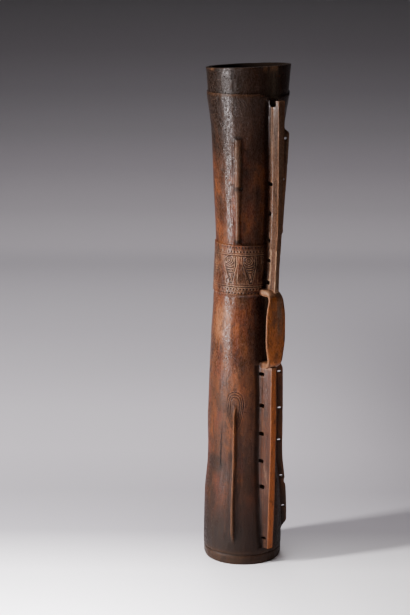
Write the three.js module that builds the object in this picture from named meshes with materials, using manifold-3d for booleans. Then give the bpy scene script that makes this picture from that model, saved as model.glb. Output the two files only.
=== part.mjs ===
// An hourglass hand drum carved from one log, open at both ends, without its skin head.
// A pierced crest runs down the handle side, with a strap handle at the waist, and a low
// pierced rib stands to each side of it. A carved band goes round the waist.
// Millimetres, +Z up, the handle towards +X, the underside at z = 0.

import * as THREE from 'three';
import { mergeVertices } from 'three/addons/utils/BufferGeometryUtils.js';
import Module from 'manifold-3d';

// Overall sizes
const height = 1000;
const lean = 7.1;
const leanHeading = 52;

// Radii of the turned outline, from the foot up to the lip
const footRadius = 79.4;
const swellRadius = 80.2;
const bellyRadius = 79.2;
const hipRadius = 73.8;
const flankRadius = 73.7;
const waistRadius = 68.8;
const bandSeatRadius = 64.4;
const bandMiddleRadius = 62.9;
const neckRadius = 61.3;
const shoulderRadius = 66.1;
const chestRadius = 72;
const collarRadius = 81.4;
const rimSeatRadius = 79.2;
const lipRadius = 82.8;

// Walls of the hollow
const footWall = 12;
const waistWall = 14;
const lipWall = 9;

// Rim, foot and carved band
const rimTilt = 3.6;
const rimTiltHeading = 22;
const stepFall = 3;
const stepDip = 6;
const grooveDepth = 1.4;
const grooveHeight = 5;
const footBevel = 3;
const bandRise = 1.6;
const bandBevel = 1.5;
const flankHollow = 5.5;
const flankHollowHeading = 47;
const flankHollowSpread = 62;

// Crest on the handle side
const crestEndSlope = 2;
const crestBodyClearance = 1;
const slotHeight = 8;
const slotDepth = 10.5;
const headSlotHeight = 14;
const headSlotDepth = 12;

// Strap handle
const handleReach = 101.5;
const strapThickness = 8;
const strapWidth = 47;
const handleRootWidth = 30;
const armHeight = 14;
const gripLength = 131;
const handleCorner = 15;
const handleKeel = 1.4;
const handleEmbed = 7;

// Side ribs
const frontRibHeight = 12;
const frontRibHeadThickness = 12.5;
const frontRibSeatThickness = 8.5;
const frontRibLowerThickness = 5;
const rearRibHeight = 12.5;
const rearRibThickness = 8.5;
const ribHoleHeight = 5;
const ribHoleDepth = 7;

// Carved ornament
const cutDepth = 1.2;
const cutWidth = 2.2;
const cutStand = 2;
const lineHeight = 2.4;
const punchSize = 5.4;
const punchCount = 30;
const motifCount = 10;
const motifStart = -69;
const motifWidth = 26;
const motifShoulder = 8;
const motifPoint = 47;
const ringRadius = 5;
const arcSpacing = 6.5;
const arcCount = 2;
const borderInset = 20;
const punchInsets = [6, 13.5];
const ringInset = 30.5;
const loopWidth = 34;
const loopLength = 82;

// Free space beside the ridges, where the rows of the body and the cuts keep away
const crestMargin = 16;
const ribMargin = 6;
const crestCutWidth = 34;
const ribCutWidth = 22;
const boreOverrun = 20;

// Fineness of the surface
const segmentAngle = 12;
const rowStep = 60;
const boreSides = 30;
const boreSteps = 10;

const up = (share) => share * height;
const rad = (angle) => THREE.MathUtils.degToRad(angle);
const deg = (angle) => THREE.MathUtils.radToDeg(angle);
const mix = THREE.MathUtils.lerp;
const ease = (x, from, to) => THREE.MathUtils.smoothstep(x, from, to);

// Named heights, as shares of the drum's height
const grooveZ = up(0.021);
const crestFoot = up(0.034);
const crestHead = up(0.94);
const bandBottom = up(0.556);
const bandTop = up(0.657);
const stepZ = up(0.951);
const bandLines = [bandBottom + borderInset, bandTop - borderInset];
const punchRows = punchInsets.flatMap((inset) => [bandBottom + inset, bandTop - inset]);
const ringZ = bandTop - ringInset;
const motifTop = bandTop - borderInset - 2 * lineHeight;
const loopTop = up(0.361);
const handleMiddle = up(0.4895);
const gripTop = handleMiddle + gripLength / 2;
const gripBottom = handleMiddle - gripLength / 2;
const armTopZ = gripTop + armHeight / 2;
const armBottomZ = gripBottom - armHeight / 2;

// A smooth curve through stations of [share of the height, value]
function through(stations) {
  return (z) => {
    const s = z / height;
    const last = stations.length - 1;
    let i = 0;
    while (i < last - 1 && s > stations[i + 1][0]) {
      i += 1;
    }
    const [s0, v0] = stations[i];
    const [s1, v1] = stations[i + 1];
    const before = stations[Math.max(i - 1, 0)];
    const after = stations[Math.min(i + 2, last)];
    const t = THREE.MathUtils.clamp((s - s0) / (s1 - s0), 0, 1);
    const m0 = ((v1 - before[1]) / (s1 - before[0])) * (s1 - s0);
    const m1 = ((after[1] - v0) / (after[0] - s0)) * (s1 - s0);
    const t2 = t * t;
    const t3 = t2 * t;
    return (2 * t3 - 3 * t2 + 1) * v0 + (t3 - 2 * t2 + t) * m0 + (3 * t2 - 2 * t3) * v1 + (t3 - t2) * m1;
  };
}

const outline = through([
  [0, footRadius], [0.045, swellRadius], [0.14, bellyRadius], [0.205, hipRadius], [0.305, flankRadius],
  [0.46, waistRadius], [0.55, bandSeatRadius], [0.605, bandMiddleRadius], [0.664, neckRadius],
  [0.76, shoulderRadius], [0.88, chestRadius], [0.945, collarRadius],
]);
const wall = through([[0, footWall], [0.3, waistWall], [0.66, waistWall], [1, lipWall]]);
const rimRadius = (z, from) => mix(from, lipRadius, (z - stepZ) / (height - stepZ));
const boreRadius = (z) => (z < stepZ ? outline(z) : rimRadius(z, collarRadius)) - wall(z);

// The crest: its edge as seen from the front, its root on each side and its thickness
const crestEdge = through([
  [0.034, 95.5], [0.077, 97], [0.25, 100.5], [0.4, 98.5], [0.6, 97], [0.7, 101], [0.87, 100.6], [0.94, 99.5],
]);
const crestThickness = through([
  [0.034, 14], [0.14, 15], [0.39, 13.4], [0.6, 12.2], [0.76, 14.7], [0.94, 17],
]);
const crestHeading = through([[0.034, -1.5], [0.4, -1.5], [0.58, 1.5], [0.7, 2.5], [0.94, 2.5]]);
const crestNearRoot = through([
  [0.034, -8.3], [0.074, -10.6], [0.14, -12.9], [0.35, -13.1], [0.42, -13.6], [0.58, -1], [0.62, 2],
  [0.7, 3.6], [0.79, 0], [0.87, -4.4], [0.94, -8.6],
]);
const crestFarRoot = through([[0.034, 7], [0.42, 7], [0.58, 11], [0.94, 12]]);

// How far a ridge between two heights is there at height z, with squared or tapering ends
const window = (z, from, to, footTaper, headTaper) => (
  ease(z, from, from + footTaper) * (1 - ease(z, to - headTaper, to))
);
const crestThere = (z) => Math.max(
  window(z, crestFoot, armBottomZ, crestEndSlope, crestEndSlope),
  window(z, armTopZ, crestHead, crestEndSlope, crestEndSlope),
);

const frontRibUpperThickness = through([[0.657, frontRibSeatThickness], [0.867, frontRibHeadThickness]]);
const ribs = [
  {
    heading: -52.4,
    reach: frontRibHeight,
    thickness: (z) => (z > bandTop ? frontRibUpperThickness(z) : frontRibLowerThickness),
    runs: [[0.044, 0.337, 0.03, 0.03], [0.657, 0.888, 0.002, 0.045]],
    holes: [0.664, 0.767, 0.866],
  },
  {
    heading: 59,
    reach: rearRibHeight,
    thickness: () => rearRibThickness,
    runs: [[0.048, 0.42, 0.02, 0.03], [0.657, 0.879, 0.012, 0.012]],
    holes: [0.098, 0.163, 0.24, 0.308, 0.385, 0.776, 0.857],
  },
];
const crestSlots = [0.057, 0.166, 0.219, 0.276, 0.334, 0.3985, 0.5815, 0.625, 0.664, 0.718, 0.776];

// The turned body with its band, rim, foot groove and the hollowed flank
function bodyRadius(z, heading) {
  if (z >= stepZ) {
    return rimRadius(z, rimSeatRadius);
  }
  let radius = outline(z);
  radius += bandRise * window(z, bandBottom, bandTop, bandBevel, bandBevel);
  radius -= grooveDepth * (1 - Math.min(Math.abs(z - grooveZ) / (grooveHeight / 2), 1));
  radius -= footBevel * Math.max(0, 1 - z / (2 * footBevel));
  for (const line of bandLines) {
    radius -= cutDepth * Math.max(0, 1 - Math.abs(z - line) / (lineHeight / 2));
  }
  const across = THREE.MathUtils.clamp(Math.abs(heading - flankHollowHeading) / flankHollowSpread, 0, 1);
  const along = window(z, up(0.05), bandBottom, up(0.2), up(0.2));
  return radius - flankHollow * along * Math.cos((across * Math.PI) / 2) ** 2;
}

// The rim is a little out of level, and its lower edge drops over the crest
function settle(z, heading) {
  const tilt = rimTilt * Math.cos(rad(heading - rimTiltHeading)) * ease(z, stepZ, height);
  const dip = stepDip * ease(heading, -24, -4) * (1 - ease(heading, 30, 60));
  return z + tilt - dip * ease(z, stepZ - 2 * stepFall, stepZ - stepFall) * (1 - ease(z, stepZ, height));
}

function place(radius, heading, z) {
  const shift = (lean * z) / height;
  return new THREE.Vector3(
    radius * Math.cos(rad(heading)) + shift * Math.cos(rad(leanHeading)),
    radius * Math.sin(rad(heading)) + shift * Math.sin(rad(leanHeading)),
    z,
  );
}

// Corner points of the crest and the ribs, which every row of the body shares
function crestPoints(z) {
  const there = crestThere(z);
  const half = deg(Math.asin(crestThickness(z) / 2 / crestEdge(z)));
  const tip = (rest, offset) => {
    const heading = mix(rest, crestHeading(z) + offset, there);
    return [heading, mix(bodyRadius(z, heading), crestEdge(z), there)];
  };
  const root = (rest, heading) => {
    const at = mix(rest, heading, there);
    return [at, bodyRadius(z, at)];
  };
  const rest = crestMargin - 2;
  return [
    root(-rest, crestNearRoot(z)), tip(-rest / 2, -half), tip(0, 0),
    tip(rest / 2, half), root(rest, crestFarRoot(z)),
  ];
}

function ribPoints(rib, z) {
  const runs = rib.runs.map(([from, to, foot, head]) => window(z, up(from), up(to), up(foot), up(head)));
  const there = Math.max(...runs);
  const middle = bodyRadius(z, rib.heading);
  const half = deg(rib.thickness(z) / 2 / middle);
  return [-1.3, -0.8, 0.8, 1.3].map((share, i) => {
    const heading = rib.heading + share * half;
    const raised = i === 1 || i === 2;
    return [heading, bodyRadius(z, heading) + (raised ? rib.reach * there : 0)];
  });
}

function plainPoints(z, from, to) {
  const count = Math.max(1, Math.round((to - from) / segmentAngle));
  const headings = Array.from({ length: count - 1 }, (_, i) => mix(from, to, (i + 1) / count));
  return headings.map((heading) => [heading, bodyRadius(z, heading)]);
}

function rowPoints(z) {
  const [front, rear] = ribs;
  return [
    ...crestPoints(z),
    ...plainPoints(z, crestMargin, rear.heading - ribMargin),
    ...ribPoints(rear, z),
    ...plainPoints(z, rear.heading + ribMargin, 360 + front.heading - ribMargin),
    ...ribPoints(front, z),
    ...plainPoints(z, front.heading + ribMargin, -crestMargin),
  ].map(([heading, radius]) => place(radius, heading, settle(z, heading)));
}

// Heights of the rows: every place where something starts or ends, and steps between them
function rowHeights() {
  const marks = [
    0, footBevel, 2 * footBevel, grooveZ - grooveHeight / 2, grooveZ, grooveZ + grooveHeight / 2,
    crestFoot, crestFoot + crestEndSlope, armBottomZ - crestEndSlope, armBottomZ,
    armTopZ, armTopZ + crestEndSlope,
    bandBottom, bandBottom + bandBevel, bandTop - bandBevel, bandTop,
    crestHead - crestEndSlope, crestHead, stepZ - stepFall, stepZ - 0.1, stepZ, height,
  ];
  for (const line of bandLines) {
    marks.push(line - lineHeight / 2, line, line + lineHeight / 2);
  }
  for (const rib of ribs) {
    for (const [from, to, foot, head] of rib.runs) {
      marks.push(up(from), up(from + foot), up(to - head), up(to));
    }
  }
  const sorted = [...new Set(marks)].sort((a, b) => a - b);
  const rows = [sorted[0]];
  for (const mark of sorted.slice(1)) {
    const gap = mark - rows[rows.length - 1];
    if (gap < 0.05) {
      continue;
    }
    const parts = Math.ceil(gap / rowStep);
    const start = rows[rows.length - 1];
    for (let i = 1; i <= parts; i += 1) {
      rows.push(start + (gap * i) / parts);
    }
  }
  return rows;
}

// A closed skin over rings of points, with a fan of triangles over each end, or ends that meet
function skin(rings, endsMeet = false) {
  const around = rings[0].length;
  const centre = (ring) => ring.reduce((sum, p) => sum.add(p), new THREE.Vector3()).divideScalar(around);
  const points = [...rings.flat(), centre(rings[0]), centre(rings[rings.length - 1])];
  const faces = [];
  for (let j = 0; j < rings.length - 1; j += 1) {
    for (let i = 0; i < around; i += 1) {
      const a = j * around + i;
      const b = j * around + ((i + 1) % around);
      faces.push(a, b, b + around, a, b + around, a + around);
    }
  }
  const top = (rings.length - 1) * around;
  for (let i = 0; i < around && !endsMeet; i += 1) {
    const next = (i + 1) % around;
    faces.push(points.length - 2, next, i, points.length - 1, top + i, top + next);
  }
  const geometry = new THREE.BufferGeometry();
  geometry.setAttribute('position', new THREE.Float32BufferAttribute(points.flatMap((p) => p.toArray()), 3));
  geometry.setIndex(faces);
  return geometry;
}

const wasm = await Module();
wasm.setup();

function toSolid(geometry) {
  const bare = geometry.clone();
  bare.deleteAttribute('normal');
  bare.deleteAttribute('uv');
  const merged = mergeVertices(bare, 1e-4);
  return new wasm.Manifold(new wasm.Mesh({
    numProp: 3,
    vertProperties: new Float32Array(merged.attributes.position.array),
    triVerts: new Uint32Array(merged.index.array),
  }));
}

function toGeometry(solid) {
  const mesh = solid.getMesh();
  const geometry = new THREE.BufferGeometry();
  geometry.setAttribute('position', new THREE.BufferAttribute(new Float32Array(mesh.vertProperties), 3));
  geometry.setIndex(new THREE.BufferAttribute(new Uint32Array(mesh.triVerts), 1));
  return geometry;
}

// The hollow, open at both ends
function bore() {
  const profile = [new THREE.Vector2(0, -boreOverrun), new THREE.Vector2(boreRadius(0), -boreOverrun)];
  for (let i = 0; i <= boreSteps; i += 1) {
    const z = (height * i) / boreSteps;
    profile.push(new THREE.Vector2(boreRadius(z), z));
  }
  const end = height + boreOverrun;
  profile.push(new THREE.Vector2(boreRadius(height), end), new THREE.Vector2(0, end));
  const geometry = new THREE.LatheGeometry(profile, boreSides);
  geometry.rotateX(Math.PI / 2);
  const shear = new THREE.Matrix4().makeShear(0, 0, 0, 0, 0, 0);
  shear.elements[8] = (lean / height) * Math.cos(rad(leanHeading));
  shear.elements[9] = (lean / height) * Math.sin(rad(leanHeading));
  return toSolid(geometry.applyMatrix4(shear));
}

// The strap handle: an arm out of the body, a rounded corner, the grip and back again
function handle() {
  const middle = handleReach - strapThickness / 2;
  const rootX = (z) => bodyRadius(z, 0) - handleEmbed;
  const path = [[rootX(armTopZ), armTopZ], [mix(rootX(armTopZ), middle - handleCorner, 0.6), armTopZ]];
  const turns = 4;
  for (let i = 0; i <= turns; i += 1) {
    const a = (Math.PI / 2) * (1 - i / turns);
    path.push([middle - handleCorner * (1 - Math.cos(a)), armTopZ - handleCorner * (1 - Math.sin(a))]);
  }
  for (const share of [0.2, 0.4, 0.6, 0.8]) {
    path.push([middle, mix(armTopZ - handleCorner, armBottomZ + handleCorner, share)]);
  }
  for (let i = 0; i <= turns; i += 1) {
    const a = (Math.PI / 2) * (i / turns);
    path.push([middle - handleCorner * (1 - Math.cos(a)), armBottomZ + handleCorner * (1 - Math.sin(a))]);
  }
  path.push([mix(rootX(armBottomZ), middle - handleCorner, 0.6), armBottomZ], [rootX(armBottomZ), armBottomZ]);

  const rings = path.map(([x, z], i) => {
    const before = path[Math.max(i - 1, 0)];
    const after = path[Math.min(i + 1, path.length - 1)];
    const along = new THREE.Vector2(after[0] - before[0], after[1] - before[1]).normalize();
    const outwards = new THREE.Vector2(-along.y, along.x);
    const grip = Math.abs(along.y);
    const fromEnd = Math.min(armTopZ - z, z - armBottomZ) / (gripLength / 2);
    const swell = Math.sin((Math.min(fromEnd, 1) * Math.PI) / 2) ** 0.8;
    const half = mix(handleRootWidth / 2, strapWidth / 2, swell);
    const thick = mix(armHeight, strapThickness, grip) / 2;
    const section = [
      [0, thick + handleKeel * grip], [0.72 * half, thick], [half, thick - 3],
      [half, 1.5 - thick], [0.88 * half, -thick],
      [-0.88 * half, -thick], [-half, 1.5 - thick], [-half, thick - 3], [-0.72 * half, thick],
    ];
    const shift = (lean * z) / height;
    return section.map(([y, out]) => new THREE.Vector3(
      x + out * outwards.x + shift * Math.cos(rad(leanHeading)),
      y + shift * Math.sin(rad(leanHeading)),
      z + out * outwards.y,
    ));
  });
  return toSolid(skin(rings.reverse()));
}

// A hole straight through the crest or a rib, next to the body
function piercing(heading, z, depth, tall, width) {
  const start = bodyRadius(z, heading) - crestBodyClearance;
  const geometry = new THREE.BoxGeometry(depth + crestBodyClearance, width, tall);
  geometry.translate(start + (depth + crestBodyClearance) / 2, 0, 0);
  geometry.rotateZ(rad(heading));
  const foot = place(0, 0, z);
  geometry.translate(foot.x, foot.y, z);
  return toSolid(geometry);
}

function piercings() {
  const cuts = crestSlots.map((share) => {
    const z = up(share);
    const heading = (crestNearRoot(z) + crestFarRoot(z)) / 2;
    return piercing(heading, z, slotDepth, slotHeight, crestCutWidth);
  });
  const headSlotZ = crestHead - headSlotHeight / 2 + 1;
  cuts.push(piercing(crestHeading(crestHead), headSlotZ, headSlotDepth, headSlotHeight, crestCutWidth));
  for (const rib of ribs) {
    for (const share of rib.holes) {
      cuts.push(piercing(rib.heading, up(share), ribHoleDepth, ribHoleHeight, ribCutWidth));
    }
  }
  return cuts;
}

// A point over the surface near a heading: millimetres around it, a height, and how far out
function onSurface(heading, around, z, lift, radius = bodyRadius(z, heading)) {
  return place(radius + lift, heading + deg(around / radius), settle(z, heading));
}

// A V-shaped cut along a line of [millimetres around, height] points, open or closed
function incise(heading, line, closed = false) {
  const half = (cutWidth / 2) * (1 + cutStand / cutDepth);
  const count = line.length;
  const rings = line.map(([around, z], i) => {
    const before = closed ? line[(i + count - 1) % count] : line[Math.max(i - 1, 0)];
    const after = closed ? line[(i + 1) % count] : line[Math.min(i + 1, count - 1)];
    const along = new THREE.Vector2(after[0] - before[0], after[1] - before[1]).normalize();
    const point = (side, lift) => onSurface(heading, around - side * along.y, z + side * along.x, lift);
    return [point(-half, cutStand), point(0, -cutDepth), point(half, cutStand)];
  });
  return toSolid(closed ? skin([...rings, rings[0]], true) : skin(rings));
}

// A small triangular punch mark, its point up or down
function punch(heading, z, direction) {
  const size = (punchSize / 2) * (1 + cutStand / cutDepth);
  const radius = bodyRadius(z, heading);
  const corners = [[-size, -direction * size], [size, -direction * size], [0, direction * size]];
  const rim = corners.map(([around, dz]) => onSurface(heading, around, z + dz, cutStand, radius));
  const tip = onSurface(heading, 0, z, -cutDepth);
  const faces = direction > 0 ? [0, 1, 2, 1, 0, 3, 2, 1, 3, 0, 2, 3] : [1, 0, 2, 0, 1, 3, 1, 2, 3, 2, 0, 3];
  const geometry = new THREE.BufferGeometry();
  const flat = [...rim, tip].flatMap((p) => p.toArray());
  geometry.setAttribute('position', new THREE.Float32BufferAttribute(flat, 3));
  geometry.setIndex(faces);
  return toSolid(geometry);
}

const arc = (z, radius, from, to, steps) => Array.from({ length: steps + 1 }, (_, i) => {
  const angle = rad(mix(from, to, i / steps));
  return [radius * Math.cos(angle), z + radius * Math.sin(angle)];
});

// A bull's eye with arcs hanging under it, in a pointed frame
function motif(heading) {
  const cuts = [incise(heading, arc(ringZ, ringRadius, 0, 315, 7), true)];
  const half = motifWidth / 2;
  for (let i = 1; i <= arcCount; i += 1) {
    const radius = ringRadius + i * arcSpacing;
    const spread = deg(Math.asin(Math.min((half - 1.5 * cutWidth) / radius, 0.8)));
    cuts.push(incise(heading, arc(ringZ, radius, 270 - spread, 270 + spread, 3)));
  }
  const shoulder = ringZ - motifShoulder;
  const point = ringZ - motifPoint;
  cuts.push(incise(heading, [
    [-half, motifTop], [-half, shoulder], [0, point], [half, shoulder], [half, motifTop],
  ]));
  return cuts;
}

// The tear-shaped loop round the head of the lower front rib
function loop(heading) {
  const steps = 12;
  const line = Array.from({ length: steps }, (_, i) => {
    const angle = (2 * Math.PI * (i + 0.5)) / steps;
    const drop = (1 - Math.cos(angle)) / 2;
    return [(loopWidth / 2) * Math.sin(angle) * (1 - drop) ** 0.35, loopTop - loopLength * drop ** 1.25];
  });
  return incise(heading, line, true);
}

// Whether a cut that reaches some millimetres to each side misses the crest and the handle
function clearOfCrest(heading, z, reach) {
  const margin = deg(reach / bandMiddleRadius);
  const arm = z < armTopZ + armHeight / 2 + reach ? deg((handleRootWidth / 2 + 1) / bandMiddleRadius) : 0;
  return heading < Math.min(crestNearRoot(z), -arm) - margin || heading > Math.max(crestFarRoot(z), arm) + margin;
}

function ornament() {
  const cuts = [loop(ribs[0].heading)];
  for (let i = 0; i < motifCount; i += 1) {
    const heading = motifStart + (360 / motifCount) * i;
    if (clearOfCrest(heading, ringZ, motifWidth / 2 + cutWidth)) {
      cuts.push(...motif(heading));
    }
  }
  punchRows.forEach((z, row) => {
    for (let i = 0; i < punchCount; i += 1) {
      const inner = row >= 2 ? 0.5 : 0;
      const heading = motifStart + (360 / punchCount) * (i + inner);
      if (clearOfCrest(heading, z, punchSize)) {
        cuts.push(punch(heading, z, (row % 2 ? 1 : -1) * (inner ? -1 : 1)));
      }
    }
  });
  return cuts;
}

const blank = toSolid(skin(rowHeights().map(rowPoints)));
const carved = wasm.Manifold.union([blank, handle()]);
const finished = wasm.Manifold.difference([carved, bore(), ...piercings(), ...ornament()]);

const wood = new THREE.MeshStandardMaterial({ color: 0x4a2e1e, roughness: 0.5, metalness: 0 });
const drum = new THREE.Mesh(toGeometry(finished), wood);
drum.name = 'drum_body';

// The origin is under the middle of the drum's box
const box = new THREE.Box3().setFromObject(drum);
drum.position.set(-(box.min.x + box.max.x) / 2, -(box.min.y + box.max.y) / 2, -box.min.z);

const group = new THREE.Group();
group.add(drum);

export default group;
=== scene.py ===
import math

import bmesh
import bpy
import numpy as np
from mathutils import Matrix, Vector


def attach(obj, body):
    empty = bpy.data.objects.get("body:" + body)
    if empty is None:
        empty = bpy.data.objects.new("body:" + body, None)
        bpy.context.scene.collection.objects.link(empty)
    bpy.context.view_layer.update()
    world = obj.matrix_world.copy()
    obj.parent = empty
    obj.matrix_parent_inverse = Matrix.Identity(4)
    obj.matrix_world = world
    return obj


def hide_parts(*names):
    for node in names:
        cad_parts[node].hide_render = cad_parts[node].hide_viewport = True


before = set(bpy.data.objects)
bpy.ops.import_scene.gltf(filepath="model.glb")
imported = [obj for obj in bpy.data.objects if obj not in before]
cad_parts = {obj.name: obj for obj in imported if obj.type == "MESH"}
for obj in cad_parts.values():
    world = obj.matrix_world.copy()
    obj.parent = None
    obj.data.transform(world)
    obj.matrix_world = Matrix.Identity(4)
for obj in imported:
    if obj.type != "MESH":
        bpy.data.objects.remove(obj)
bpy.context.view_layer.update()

# Sizes in millimetres and angles in degrees. Headings go round the drum's axis from the handle.

MM = 0.001
HEIGHT = 1000.0
LEAN, LEAN_HEADING = 7.1, 52.0
FOOT_BEVEL = 3.0
GROOVE_Z, GROOVE_DEPTH, GROOVE_HEIGHT = 21.0, 1.4, 5.0
FLANK_HOLLOW, FLANK_HEADING, FLANK_SPREAD = 5.5, 47.0, 62.0
WAIST_Z = 600.0
STEP_Z, STEP_FALL, STEP_DIP = 951.0, 3.0, 6.0
RIM_SEAT, COLLAR, LIP = 79.2, 81.4, 82.8
RIM_TILT, RIM_TILT_HEADING = 3.6, 22.0
# heading, half width and depth of each chip in the lip
CHIPS = ((-15, 3.5, 2.2), (-4, 5, 2.6), (3, 3, 1.2), (-96, 5, 0.9), (131, 8, 1.5))

CREST_FOOT, CREST_HEAD, CREST_REACH = 34.0, 940.0, 24
SLOTS = [57, 166, 219, 276, 334, 398.5, 581.5, 625, 664, 718, 776]
SLOT_DEPTH, SLOT_HEIGHT, SLOT_WIDTH = 10.5, 8.4, 34
FRONT_RIB, REAR_RIB, RIB_RADIUS = -52.4, 59.0, 66.0
FRONT_HOLES = [664, 767, 866]
REAR_HOLES = [98, 163, 240, 308, 385, 776, 857]
# height and size of each knot
FRONT_KNOTS = ((866, 0.3), (767, 0.5), (664, 1.0), (243, 0.35), (168, 0.4), (80, 0.5))

ARM_TOP, ARM_BOTTOM, ARM_HEIGHT = 562.0, 417.0, 14.0
HANDLE_REACH, HANDLE_CORNER, HANDLE_WIDENING = 101.5, 15.0, 71.0
STRAP, STRAP_WIDTH, ROOT_WIDTH = 8.0, 48.0, 30.0
KEEL, EMBED = 1.4, 7.0

# The band: its mean radius turns headings into millimetres along it.
BAND_BOTTOM, BAND_TOP, BAND_RADIUS = 556.0, 657.0, 64.0
BAND_RISE, BAND_BEVEL = 1.6, 1.5
BORDER_LINES, BORDER_WIDTH = (639.3, 635.2, 577.6, 573.4), 1.9
# height of each row's middle, which way its triangles point, and its shift along the row
TRIANGLE_ROWS = ((650.8, -1, 0.0), (644.0, 1, 0.5), (561.9, 1, 0.0), (568.4, -1, 0.5))
PUNCH_STEP = 5.9
FIELD_BOTTOM, FIELD_TOP = 579.5, 633.5
MOTIF_START, MOTIF_STEP, SLANT = -69.0, 36.0, 0.11
RING_Z, RINGS, RING_WIDTH = 626.5, (0.0, 3.4, 6.9), 2.3
ARCS, ARC_WIDTH = (10.8, 15.4, 20.2, 25.0), 2.4
SHIELD = [(-11.0, 9.0), (-11.6, -6), (0, -49.0), (13.6, -7), (13.8, 9.0)]
SHIELD_INNER = [(-8.4, 9.0), (-8.8, -6.5), (0, -40.5), (10.8, -7), (11.0, 9.0)]
EYE_Z = 583.5

# The nested grooves round the head of the lower front rib.
LOOP_TOP, LOOP_BOTTOM, LOOP_HALF, LOOP_RADIUS = 361.0, 277.0, 21.5, 73.7
LOOP_GROWS, LOOP_WIDTH = (0.0, -4.8, -9.6), 2.4
LOOP_ROWS = (LOOP_BOTTOM - 14, LOOP_TOP + 12)


def smooth(x, a, b):
    t = np.clip((np.asarray(x, float) - a) / (b - a), 0, 1)
    return t * t * (3 - 2 * t)


def mix(a, b, t):
    return a + (b - a) * t


def bump(x, middle, half):
    """1 at the middle, falling smoothly to 0 at half away."""
    return np.cos(np.clip(np.abs(np.asarray(x, float) - middle) / half, 0, 1) * math.pi / 2) ** 2


def window(z, start, end, foot, head):
    """1 between two heights, with smooth ends of the given lengths inside them."""
    return smooth(z, start, start + foot) * (1 - smooth(z, end - head, end))


def fold(heading):
    """The same heading, from -180 to 180."""
    return (heading + 180) % 360 - 180


def through(stations):
    """A smooth curve through [height, value] stations, level past its ends."""
    xs = np.array([s[0] for s in stations], float)
    vs = np.array([s[1] for s in stations], float)
    slopes = np.empty(len(xs))
    slopes[1:-1] = (vs[2:] - vs[:-2]) / (xs[2:] - xs[:-2])
    slopes[0] = (vs[1] - vs[0]) / (xs[1] - xs[0])
    slopes[-1] = (vs[-1] - vs[-2]) / (xs[-1] - xs[-2])

    def curve(z):
        z = np.asarray(z, float)
        i = np.clip(np.searchsorted(xs, z, side="right") - 1, 0, len(xs) - 2)
        gap = xs[i + 1] - xs[i]
        t = np.clip((z - xs[i]) / gap, 0, 1)
        t2, t3 = t * t, t * t * t
        return (
            (2 * t3 - 3 * t2 + 1) * vs[i] + (t3 - 2 * t2 + t) * slopes[i] * gap
            + (3 * t2 - 2 * t3) * vs[i + 1] + (t3 - t2) * slopes[i + 1] * gap
        )
    return curve


outline = through([
    [0, 79.4], [45, 80.2], [140, 79.2], [205, 73.8], [305, 73.7], [460, 68.8], [550, 64.4],
    [605, 62.9], [664, 61.3], [760, 66.1], [880, 72], [945, 81.4],
])
wall = through([[0, 12], [300, 14], [660, 14], [1000, 9]])
crest_edge = through([
    [34, 95.5], [77, 97], [250, 100.5], [400, 98.5], [600, 97], [700, 101], [870, 100.6],
    [940, 99.5],
])
crest_thickness = through([[34, 14], [140, 15], [390, 13.4], [600, 12.2], [760, 14.7], [940, 17]])
crest_heading = through([[34, -1.5], [400, -1.5], [580, 1.5], [700, 2.5], [940, 2.5]])
crest_near = through([
    [34, -8.3], [74, -10.6], [140, -12.9], [350, -13.1], [420, -13.6], [580, -1], [620, 2],
    [700, 3.6], [790, 0], [870, -4.4], [940, -8.6],
])
crest_far = through([[34, 7], [420, 7], [580, 11], [940, 12]])


def value_noise(points, scale, seed):
    """Smooth noise from -1 to 1 at points (n, 3); scale is its wavelength, one number or three."""
    p = points / np.asarray(scale, float)
    cell = np.floor(p).astype(np.int64)
    f = p - cell
    f = f * f * (3 - 2 * f)
    total = np.zeros(len(p))
    for corner in range(8):
        o = np.array([corner & 1, (corner >> 1) & 1, (corner >> 2) & 1])
        c = cell + o
        h = c[:, 0] * 374761393 + c[:, 1] * 668265263 + c[:, 2] * 2147483647
        h = (h + seed * 1274126177) & 0xFFFFFFFF
        h = ((h ^ (h >> 13)) * 1274126177) & 0xFFFFFFFF
        h = (h ^ (h >> 16)) & 0xFFFF
        weight = np.prod(np.where(o == 1, f, 1 - f), axis=1)
        total += weight * (h / 32767.5 - 1)
    return total


# The carved surface

def crest_there(z):
    """1 at the heights where the crest stands on the body, 0 elsewhere."""
    return np.maximum(
        window(z, CREST_FOOT, ARM_BOTTOM, 2, 2), window(z, ARM_TOP, CREST_HEAD, 2, 2)
    )


def body_radius(z, heading):
    """Radius of the body without its crest, ribs and carving."""
    radius = outline(z)
    radius = radius + BAND_RISE * window(z, BAND_BOTTOM, BAND_TOP, BAND_BEVEL, BAND_BEVEL)
    radius = radius - GROOVE_DEPTH * (1 - np.minimum(np.abs(z - GROOVE_Z) / (GROOVE_HEIGHT / 2), 1))
    radius = radius - FOOT_BEVEL * np.maximum(0, 1 - z / (2 * FOOT_BEVEL))
    across = np.clip(np.abs(heading - FLANK_HEADING) / FLANK_SPREAD, 0, 1)
    along = window(z, 50, BAND_BOTTOM, 200, 200)
    radius = radius - FLANK_HOLLOW * along * np.cos(across * math.pi / 2) ** 2
    rim = mix(RIM_SEAT, LIP, (z - STEP_Z) / (HEIGHT - STEP_Z))
    return np.where(z >= STEP_Z, rim, radius)


def settle(z, heading):
    """The height at which a row really lies: the rim is tilted and its step dips by the crest."""
    tilt = RIM_TILT * np.cos(np.radians(heading - RIM_TILT_HEADING)) * smooth(z, STEP_Z, HEIGHT)
    dip = STEP_DIP * smooth(heading, -24, -4) * (1 - smooth(heading, 30, 60))
    drop = smooth(z, STEP_Z - 2 * STEP_FALL, STEP_Z - STEP_FALL) * (1 - smooth(z, STEP_Z, HEIGHT))
    return z + tilt - dip * drop


def v_cut(distance, width):
    """Depth share of a V cut, 1 on its line and 0 at half its width away."""
    return np.maximum(0, 1 - np.abs(distance) / (width / 2))


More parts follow.
